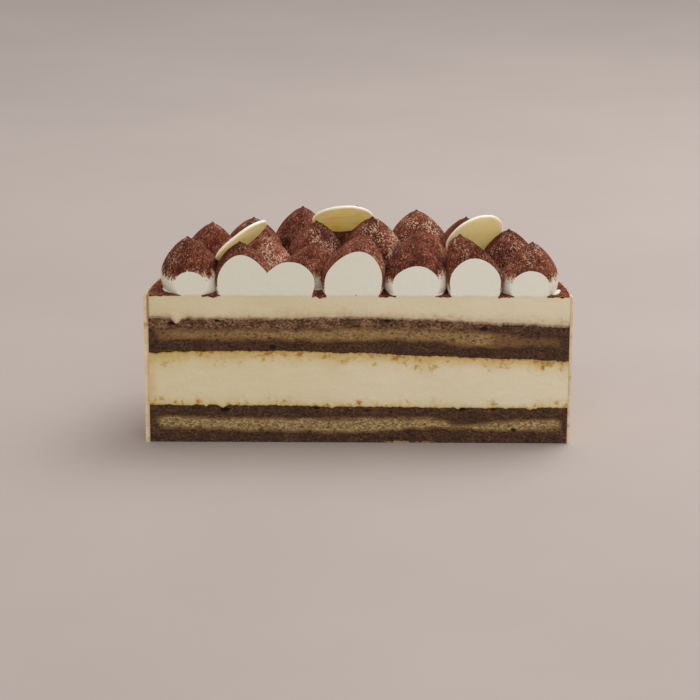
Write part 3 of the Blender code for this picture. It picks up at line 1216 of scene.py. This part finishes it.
@dataclass
class DustedKiss:
    """Builds one kiss: a turned drop, leaned, pressed against its neighbours and sliced by the knife."""

    kiss: Kiss
    number: int
    dusted: bpy.types.Material
    sliced: bpy.types.Material
    segments: int = 136
    rings: int = 84
    sink: float = 0.0003
    softness: float = 0.00018
    skirt: float = 0.0013
    streak_radius: float = 0.0125
    outline: tuple[tuple[float, float], ...] = (
        (0.00, 0.00), (0.00, 0.870), (0.015, 0.895), (0.035, 0.915), (0.08, 0.955), (0.22, 1.00),
        (0.38, 0.985), (0.51, 0.892), (0.64, 0.752), (0.77, 0.555), (0.88, 0.340), (0.925, 0.225),
        (0.948, 0.140), (0.960, 0.085), (0.975, 0.055), (0.99, 0.036), (1.00, 0.018), (1.00, 0.00),
    )

    @property
    def cut(self) -> float:
        """The knife's plane, a hair different on each kiss, so that fused kisses never share one face."""
        return SIZES.cut_y + self.number * TOUCHING

    def rounded_outline(self) -> np.ndarray:
        """Cuts the outline's corners until it is smooth.

        Returns:
            As many points along it as there are rings: the height and the radius of each.
        """
        line = np.array(self.outline) * (self.kiss.height * MM, self.kiss.radius * MM)
        for _ in range(4):
            cut = np.empty((2 * len(line) - 2, 2))
            cut[0::2] = 0.75 * line[:-1] + 0.25 * line[1:]
            cut[1::2] = 0.25 * line[:-1] + 0.75 * line[1:]
            line = np.concatenate([line[:1], cut, line[-1:]])
        run = np.concatenate([[0], np.cumsum(np.hypot(*np.diff(line, axis=0).T))])
        foot = self.kiss.radius * MM * 0.80
        even = np.concatenate([np.linspace(0, foot, 5)[:-1], np.linspace(foot, run[-1], self.rings - 3)])
        return points(np.interp(even, run, line[:, 0]), np.interp(even, run, line[:, 1]))

    def drop(self) -> bpy.types.Object:
        """Draws a ball out to the kiss's outline, leaned towards its tip.

        Returns:
            The whole kiss, as if it stood alone.
        """
        ball = bpy.ops.mesh.primitive_uv_sphere_add
        obj = added(self.kiss.name + "_piped", ball, segments=self.segments, ring_count=self.rings, radius=1)
        x, y, z = positions(obj).T
        turn = np.arctan2(y, x)
        ring = np.round((1 - np.arccos(np.clip(z, -1, 1)) / math.pi) * self.rings).astype(int)
        up, wide = self.rounded_outline()[ring].T
        around = points(np.cos(turn), np.sin(turn), 0.0)
        facing = points(np.cos(turn), np.sin(turn), up / 0.02)
        wide = wide * (1 + 0.030 * uneven(facing, 0.8, float(self.number)) * rise(up, 0, 0.004))
        lips = np.clip(uneven(around, 0.55, 70.0 + self.number) + 0.15, 0, 1)
        wide += self.skirt * lips * (1 - rise(up, 0.0007, 0.0016)) * (wide > self.kiss.radius * MM * 0.8)
        x, y = wide * np.cos(turn), wide * np.sin(turn)
        across, back = self.kiss.lean(up, y)
        set_positions(obj, points(x + across, y + back, up) + self.kiss.foot)
        return obj

    def before_neighbours(self, places: np.ndarray) -> list[tuple[np.ndarray, np.ndarray]]:
        """Measures up to the planes that it shares with its neighbours.

        Args:
            places: Places on the kiss.

        Returns:
            For each neighbour the way to it, and how far each place stops short of the plane.
        """
        found = []
        for other in KISSES:
            apart = other.foot - self.kiss.foot
            distance = float(np.linalg.norm(apart))
            near, far = self.kiss.radius * MM, other.radius * MM
            if other is not self.kiss and distance <= near + far:
                reach = (distance**2 + near**2 - far**2) / (2 * distance) + self.sink
                found.append((apart / distance, reach - (places - self.kiss.foot) @ (apart / distance)))
        return found

    def press(self, obj: bpy.types.Object) -> None:
        """Flattens the kiss softly where it meets each neighbour.

        Args:
            obj: The kiss.
        """
        places = positions(obj)
        for way, short in self.before_neighbours(places):
            places -= np.outer(self.softness * np.logaddexp(0, -short / self.softness), way)
        set_positions(obj, places)

    def slice(self, obj: bpy.types.Object) -> None:
        """Cuts the front off at the knife's plane and rounds the cut's edge over.

        Args:
            obj: The kiss, pressed.
        """
        if positions(obj)[:, 1].min() > SIZES.cut_y:
            return
        rounding = self.kiss.rounding * MM
        # The knife's cut first, then four lines close behind it that the rounding bends over.
        with editing(obj, "FACE"):
            for share in (0.0, 0.12, 0.35, 0.65, 1.0):
                bpy.ops.mesh.select_all(action="SELECT")
                bpy.ops.mesh.bisect(
                    plane_co=(0, self.cut + rounding * share, 0), plane_no=(0, -1, 0),
                    use_fill=share == 0, clear_outer=share == 0, threshold=TOUCHING,
                )
            bpy.ops.mesh.select_all(action="SELECT")
            bpy.ops.mesh.dissolve_degenerate(threshold=2 * TOUCHING)
        obj.data.update()
        places = positions(obj)
        behind = np.clip((places[:, 1] - self.cut) / rounding, 0, 1)
        side = read(obj.data.vertices, "normal", 3) * (1, 0, 1)
        side /= np.maximum(np.linalg.norm(side, axis=1), 1e-6)[:, None]
        inward = rounding * (1 - np.sqrt(1 - (1 - behind) ** 2))
        inward *= rise(places[:, 2] - SIZES.stack, 0.001, 0.003)
        for _, short in self.before_neighbours(places):
            inward *= rise(short, 0.0004, 0.0020)
        places[np.abs(places[:, 1] - self.cut) < 2 * TOUCHING, 1] = self.cut
        set_positions(obj, places - side * inward[:, None])

    def dust(self, obj: bpy.types.Object) -> None:
        """Stores how much cocoa lies at each vertex, thinning in streaks down the sides.

        Args:
            obj: The kiss, pressed and sliced.
        """
        local = positions(obj) - self.kiss.foot
        _, back = self.kiss.lean(local[:, 2], local[:, 1])
        local[:, 1] -= back
        across, _ = self.kiss.lean(local[:, 2], local[:, 1])
        local[:, 0] -= across
        x, y, up = local.T
        turn = np.arctan2(y, x)
        side = points(np.cos(turn) * 0.013, np.sin(turn) * 0.013, up / 5)
        streaks = uneven(side, 0.0015, 3.0 + self.number)
        waves = uneven(side, 0.008, 30.0 + self.number)
        height = up / MM + 2.3 * streaks + 2.2 * waves - self.kiss.fade_slope * np.cos(turn)
        cover = rise(height, self.kiss.fade - 4.5, self.kiss.fade + 4.5)
        bare = 0.5 + 0.5 * np.cos(turn - math.radians(self.kiss.bare_side))
        patches = uneven(local, 0.0065, 50.0 + self.number)
        thin = self.kiss.speckle * rise(patches + 0.9 * bare, 0.15, 1.45)
        store(obj, "cover", cover * (1.0 - 0.12 * thin))
        store(obj, "fleck", thin)
        clouds = uneven(local, 0.009, 90.0 + self.number)
        # Lighter at the sides seen edge-on: painted rim light.
        store(obj, "tone", self.kiss.tone + 0.05 * clouds + 0.05 * (np.cos(turn) ** 2 - 0.4))
        # The grains' own coordinates: round a drum, so that they run straight down the sides.
        drum = self.streak_radius
        way = points(np.cos(turn) * drum, np.sin(turn) * drum, up + self.number * 0.03)
        layer = obj.data.attributes.new("streak", "FLOAT_VECTOR", "POINT")
        layer.data.foreach_set("vector", np.ascontiguousarray(way, np.float32).ravel())

    def build(self) -> bpy.types.Object:
        """Makes the kiss and hands it to the frame.

        Returns:
            The kiss.
        """
        obj = self.drop()
        self.press(obj)
        self.slice(obj)
        tidy_normals(obj)
        self.dust(obj)
        dress(obj, 50, self.dusted, self.sliced)
        for face in obj.data.polygons:
            if face.normal.y < -0.999 and abs(face.center.y - self.cut) < 3 * TOUCHING:
                face.material_index = 1
                face.use_smooth = False
        place(obj, Slot.PIPED, self.kiss.name)
        return obj


@dataclass
class CreamDab:
    """A small lump of cream left on the flat top beside the last kiss."""

    material: bpy.types.Material
    at: Colour = (0.0920, -0.0466, 0.0729)
    half: Colour = (0.0021, 0.0018, 0.0013)
    tilt: float = 0.75
    sunk: float = 0.0008

    def build(self) -> None:
        """Presses a ball flat, makes it uneven and hands it to the frame."""
        obj = added("cream_dab", bpy.ops.mesh.primitive_ico_sphere_add, subdivisions=5, radius=1)
        places = positions(obj)
        places *= (1 + 0.30 * uneven(places, 0.9, 41.0) + 0.10 * uneven(places, 0.35, 43.0))[:, None]
        places[:, 2] += self.tilt * places[:, 0]
        places = places * self.half
        # Its flat foot keeps a trace of the ball's form, so that no face is flat to nothing.
        places[:, 2] = np.maximum(places[:, 2], 0.00002 * places[:, 2] / self.half[2] - self.sunk)
        set_positions(obj, places + self.at)
        dress(obj, 50, self.material)
        place(obj, Slot.PIPED)


# Chocolate rounds -----------------------------------------------------------------------------------


@dataclass(frozen=True)
class Round:
    """One chocolate round: its place in mm from the middle of the cut, its tilt and the way it faces in degrees."""

    name: str
    across: float
    depth: float
    above: float
    tilt: float
    heading: float
    finish: ChocolateFinish

    @property
    def matrix(self) -> np.ndarray:
        """Where it lies.

        Returns:
            A 4 x 4 matrix.
        """
        centre = Vector((self.across * MM, SIZES.middle_y + self.depth * MM, SIZES.stack + self.above * MM))
        turn = Matrix.Rotation(math.radians(self.heading), 4, "Z")
        return np.array(Matrix.Translation(centre) @ turn @ Matrix.Rotation(math.radians(self.tilt), 4, "Y"))


# One white chocolate in three copies, each set for how its round is lit: painted shade and painted glow.
SHADED = ChocolateFinish("shaded_chocolate", (0.99, 0.76, 0.46), (0.98, 0.78, 0.53), 1.0)
OCHRE = ChocolateFinish("ochre_chocolate", (1.00, 0.78, 0.53), (0.93, 0.59, 0.32), 1.0)
IVORY = ChocolateFinish("ivory_chocolate", (0.98, 0.74, 0.45), (0.98, 0.79, 0.53), 0.9)


@dataclass
class ChocolateRounds:
    """Three thin, slightly dished rounds with soft rims."""

    radius: float = 0.0147
    thickness: float = 0.0013
    dishing: float = 0.0007
    bevel: float = 0.00035
    rounds: tuple[Round, ...] = (
        Round("chocolate_round_left", -54.6, 13.7, 22.7, 44.8, 148.4, SHADED),
        Round("chocolate_round_middle", -7.5, 53.5, 23.1, 37.3, 96.6, OCHRE),
        Round("chocolate_round_right", 54.9, 30.0, 20.6, 55.5, 119.2, IVORY),
    )

    def mark_side(self, obj: bpy.types.Object, side: int) -> None:
        """Selects what lies on a flat round's upper (1) or lower (-1) face."""
        mark(obj, positions(obj)[:, 2] * side > self.thickness / 2 - TOUCHING)

    def blank(self) -> bpy.types.Object:
        """Models one flat round: a drum with bevelled rims and rings set into both faces.

        Returns:
            The round, to be copied.
        """
        drum = bpy.ops.mesh.primitive_cylinder_add
        obj = added("blank_round", drum, vertices=144, radius=self.radius, depth=self.thickness)
        for side in (1, -1):
            self.mark_side(obj, side)
            with editing(obj, "EDGE"):
                bpy.ops.mesh.bevel(offset=self.bevel, segments=3, affect="EDGES")
        for side in (1, -1):
            self.mark_side(obj, side)
            with editing(obj, "FACE"):
                for _ in range(8):
                    bpy.ops.mesh.inset(thickness=self.radius * 0.1)
        return obj

    def build(self) -> None:
        """Copies the round to its three places, dishes and roughens each, and hands them over."""
        blank = self.blank()
        for number, item in enumerate(self.rounds):
            obj = blank.copy()
            obj.data = blank.data.copy()
            obj.name = obj.data.name = item.name + "_cast"
            bpy.context.scene.collection.objects.link(obj)
            places = positions(obj)
            share = np.hypot(places[:, 0], places[:, 1]) / self.radius
            places[:, :2] *= (1 + 0.008 * uneven(places, 0.009, 3.0 + number))[:, None] * 0.994
            places[:, 2] += self.dishing * (share**2 - 0.5) + 0.00012 * uneven(places, 0.007, 9.0 + number)
            set_positions(obj, places @ item.matrix[:3, :3].T + item.matrix[:3, 3])
            # Where the finish paints the rim pale, as painted light on the lit edge.
            store(obj, "rim", rise(share, 0.965, 0.988))
            dress(obj, 40, item.finish.material())
            place(obj, Slot.CHOCOLATE, item.name)
        bpy.data.objects.remove(blank)


# Crumbs ---------------------------------------------------------------------------------------------


@dataclass
class CocoaCrumbs:
    """Small lumps of cocoa on the flat top, on the kisses' pale sides and over the skin's lip."""

    kisses: Sequence[bpy.types.Object]
    material: bpy.types.Material
    on_top: int = 900
    on_kisses: int = 700
    on_lip: int = 90
    seed: int = 5

    def lump(self) -> tuple[np.ndarray, np.ndarray]:
        """Models one uneven lump.

        Returns:
            Its vertices, about 1 across, and its triangles.
        """
        obj = added("lump", bpy.ops.mesh.primitive_ico_sphere_add, subdivisions=1, radius=0.5)
        places = positions(obj)
        places *= (1 + 0.5 * uneven(places, 0.45, 2.0))[:, None]
        faces = np.array([list(face.vertices) for face in obj.data.polygons])
        bpy.data.objects.remove(obj)
        return places, faces

    def spots(self, rng: random.Random) -> list[tuple[Vector, float]]:
        """Chooses where the lumps lie and how wide they are.

        Args:
            rng: The seeded draw.

        Returns:
            A place and a width for each.
        """
        found = []
        while len(found) < self.on_top:
            x = rng.uniform(-1, 1) * (SIZES.radius - 0.003)
            y = rng.uniform(0.0004, SIZES.radius - 0.003)
            if math.hypot(x, y) < SIZES.radius - 0.0028:
                width = min(rng.lognormvariate(-1.1, 0.4), 0.9) * MM
                found.append((Vector((x, SIZES.middle_y + y, SIZES.stack + 0.00028)), width))
        for _ in range(self.on_lip):
            turn = rng.uniform(0.02, math.pi - 0.02)
            reach = SIZES.radius - 0.0004 - abs(rng.gauss(0, 0.0009))
            x, y = reach * math.cos(turn), reach * math.sin(turn)
            found.append((Vector((x, SIZES.middle_y + y, SIZES.stack + 0.0003)), rng.uniform(0.15, 0.35) * MM))
        for _ in range(self.on_kisses):
            mesh = rng.choice(self.kisses).data
            vertex = rng.choice(mesh.vertices)
            cover = mesh.attributes["cover"].data[vertex.index].value
            on_side = vertex.co.z > SIZES.stack + 0.002 and vertex.co.y > SIZES.cut_y + 0.0005
            if on_side and 0.02 < cover and rng.random() < 0.35 + cover:
                found.append((vertex.co + vertex.normal * 0.00004, rng.uniform(0.14, 0.34) * MM))
        return found

    def build(self) -> None:
        """Joins turned copies of the lump into one piece and hands it to the frame."""
        rng = random.Random(self.seed)
        lump, faces = self.lump()
        every, triangles = [], []
        for count, (centre, width) in enumerate(self.spots(rng)):
            turn = Matrix.Rotation(rng.uniform(0, 6.28), 3, Vector((rng.gauss(0, 1), rng.gauss(0, 1), 1)))
            every.append(lump @ (np.array(turn).T * width) + np.array(centre))
            triangles.append(faces + count * len(lump))
        places = np.concatenate(every)
        places[:, 1] = np.maximum(places[:, 1], SIZES.middle_y)
        mesh = bpy.data.meshes.new("cocoa_crumbs")
        mesh.from_pydata(places, [], np.concatenate(triangles))
        mesh.materials.append(self.material)
        obj = bpy.data.objects.new("cocoa_crumbs", mesh)
        bpy.context.scene.collection.objects.link(obj)
        place(obj, Slot.COCOA)


# Set ------------------------------------------------------------------------------------------------


@dataclass(frozen=True)
class Lamp:
    """One soft area light, aimed at the cake."""

    name: str
    location: Colour
    size: float
    power: float


@dataclass
class Studio:
    """The pale floor, the soft light and the camera."""

    lamps: tuple[Lamp, ...] = (
        Lamp("overhead", (0.50, 0.40, 1.15), 0.9, 12.5),
        Lamp("front_fill", (0.25, -1.6, 0.9), 1.6, 9.0),
    )
    aim: Colour = (0.0, 0.0, 0.05)
    ambient: float = 0.62
    floor_size: float = 12.0
    camera_at: Colour = (-0.004, -1.257, 0.416)
    pitch: float = 17.05
    roll: float = 0.25
    lens: float = 138.9
    shift: float = 0.0007

    def floor(self) -> None:
        """Lays the floor."""
        floor = added("floor", bpy.ops.mesh.primitive_plane_add, size=self.floor_size, location=(0, 0, 0))
        floor.data.materials.append(FloorFinish().material())

    def light(self) -> None:
        """Hangs the lamps and sets the light from all round."""
        world = bpy.data.worlds.new("studio")
        world.use_nodes = True
        sky = world.node_tree.nodes["Background"]
        sky.inputs["Color"].default_value = (1.0, 0.985, 0.965, 1.0)
        sky.inputs["Strength"].default_value = self.ambient
        bpy.context.scene.world = world
        for lamp in self.lamps:
            light = added(lamp.name, bpy.ops.object.light_add, type="AREA", location=lamp.location)
            light.data.size = lamp.size
            light.data.energy = lamp.power
            light.rotation_mode = "QUATERNION"
            light.rotation_quaternion = (Vector(self.aim) - Vector(lamp.location)).to_track_quat("-Z", "Y")

    def camera(self) -> None:
        """Stands the camera a little above the cake, straight in front of the cut."""
        pitch, roll = math.radians(self.pitch), math.radians(self.roll)
        forward = Vector((0, math.cos(pitch), -math.sin(pitch)))
        right = Vector((1, 0, 0))
        up = right.cross(forward)
        rolled_right = math.cos(roll) * right + math.sin(roll) * up
        rolled_up = -math.sin(roll) * right + math.cos(roll) * up
        matrix = Matrix((rolled_right, rolled_up, -forward)).transposed().to_4x4()
        matrix.translation = Vector(self.camera_at)
        data = bpy.data.cameras.new("camera")
        data.sensor_width = 36
        data.lens = self.lens
        data.shift_x = self.shift
        camera = bpy.data.objects.new("camera", data)
        camera.matrix_world = matrix
        bpy.context.scene.collection.objects.link(camera)
        bpy.context.scene.camera = camera

    def build(self) -> None:
        """Sets up everything that isn't the cake."""
        self.floor()
        self.light()
        self.camera()
        bpy.context.scene.view_settings.view_transform = "Standard"
        log.info("studio ready")


LOWER_HOLES = (
    Hole(-62.5, 15.9, 2.3, 1.3, 2.2), Hole(-87.0, 13.2, 1.3, 1.2, 0.9), Hole(-74.5, 7.2, 1.4, 1.1, 0.8),
    Hole(-45.5, 6.0, 1.3, 1.2, 0.9), Hole(-19.5, 17.2, 1.6, 0.9, 1.4), Hole(49.0, 16.4, 1.8, 0.8, 1.6),
    Hole(63.5, 16.6, 1.2, 0.7, 1.3), Hole(73.5, 6.4, 1.5, 0.9, 1.2), Hole(4.5, 15.8, 1.4, 0.7, 1.0),
    Hole(-42.5, 4.2, 1.6, 0.9, 0.9), Hole(31.5, 9.0, 0.7, 0.6, 0.9), Hole(71.0, 8.2, 1.0, 0.5, 0.9),
    Hole(83.0, 4.0, 1.2, 0.9, 0.8), Hole(15.5, 1.9, 1.2, 0.6, 0.9),
)
UPPER_HOLES = (
    Hole(-86.8, 58.0, 2.7, 1.0, 2.0), Hole(-40.0, 46.7, 1.9, 1.3, 1.2), Hole(-90.5, 45.9, 1.5, 1.0, 0.9),
    Hole(-66.0, 59.6, 1.2, 0.7, 1.2), Hole(13.5, 59.7, 1.8, 1.0, 1.4), Hole(33.0, 58.0, 1.0, 0.7, 0.9),
    Hole(58.5, 56.2, 1.8, 1.0, 1.1), Hole(44.0, 50.4, 1.5, 1.3, 0.8), Hole(-41.5, 51.2, 1.1, 0.8, 0.8),
    Hole(54.0, 50.2, 0.9, 0.6, 0.9), Hole(48.0, 51.9, 0.8, 0.6, 0.8), Hole(-29.0, 50.6, 0.8, 0.6, 0.8),
    Hole(-96.0, 46.6, 1.3, 0.9, 0.9), Hole(96.0, 56.0, 1.0, 0.8, 0.9), Hole(-66.5, 52.3, 0.9, 0.6, 0.8),
)


def main() -> None:
    """Builds the cake from the table up, then the set."""
    logging.basicConfig(level=logging.INFO, format="%(name)s: %(message)s")
    sponge = SpongeFinish().material()
    SpongeLayer(
        "sponge_lower", sponge, Joint.FLOOR, Joint.LOWER, seed=1, holes=LOWER_HOLES, smear=(8.0, 46.0),
        core_low=(6.8, 6.6, 6.3, 5.6, 5.5, 5.2, 4.9, 6.3, 7.3, 7.0, 6.0, 6.2, 6.4),
        core_high=(12.9, 12.7, 12.0, 12.0, 11.8, 11.8, 12.2, 12.4, 12.2, 9.0, 11.0, 11.8, 11.6),
    ).build()
    SpongeLayer(
        "sponge_upper", sponge, Joint.MIDDLE, Joint.UPPER, seed=2, holes=UPPER_HOLES, bloom=1.0,
        core_low=(50.6, 50.4, 50.4, 50.5, 50.4, 49.8, 50.2, 50.5, 50.0, 47.8, 47.4, 47.8, 47.6),
        core_high=(55.8, 55.4, 55.2, 55.6, 55.6, 55.8, 56.2, 56.4, 55.8, 55.0, 54.2, 51.8, 51.0),
        core_pale=(
            0.62, 0.66, 0.72, 0.76, 0.80, 0.80, 0.80, 0.82, 0.84, 0.85, 0.86, 0.86, 0.86,
            0.86, 0.86, 0.86, 0.86, 0.84, 0.86, 0.96, 0.56, 0.44, 0.44, 0.40, 0.35,
        ),
    ).build()
    middle = CutCreamFinish("middle_cream", (0.735, 0.635, 0.400), (0.785, 0.70, 0.510))
    CreamLayer(
        "cream_middle", middle.material(), Joint.LOWER, Joint.MIDDLE, seed=1,
        bleed_below=1.0, bleed_above=0.65, left_warmth=0.5,
    ).build()
    top = CutCreamFinish(
        "top_cream", (0.690, 0.595, 0.375), (0.765, 0.68, 0.480),
        coffee=(0.30, 0.175, 0.090), tan=(0.52, 0.38, 0.21), marks=0.3,
    )
    CreamLayer(
        "cream_top", top.material(), Joint.UPPER, Joint.TOP, seed=2,
        bleed_above=0.65, left_warmth=0.3, left_line=1.0,
    ).build()
    CreamSkin(SkinFinish().material()).build()
    CocoaLayer(CocoaFinish("thin_cocoa", (0.078, 0.019, 0.010), (0.262, 0.080, 0.044)).material()).build()
    dusted, sliced = DustedCreamFinish().material(), SlicedKissFinish().material()
    kisses = [DustedKiss(kiss, number, dusted, sliced).build() for number, kiss in enumerate(KISSES)]
    CreamDab(sliced).build()
    ChocolateRounds().build()
    CocoaCrumbs(kisses, CocoaFinish().material()).build()
    Studio().build()


if __name__ == "__main__":
    main()
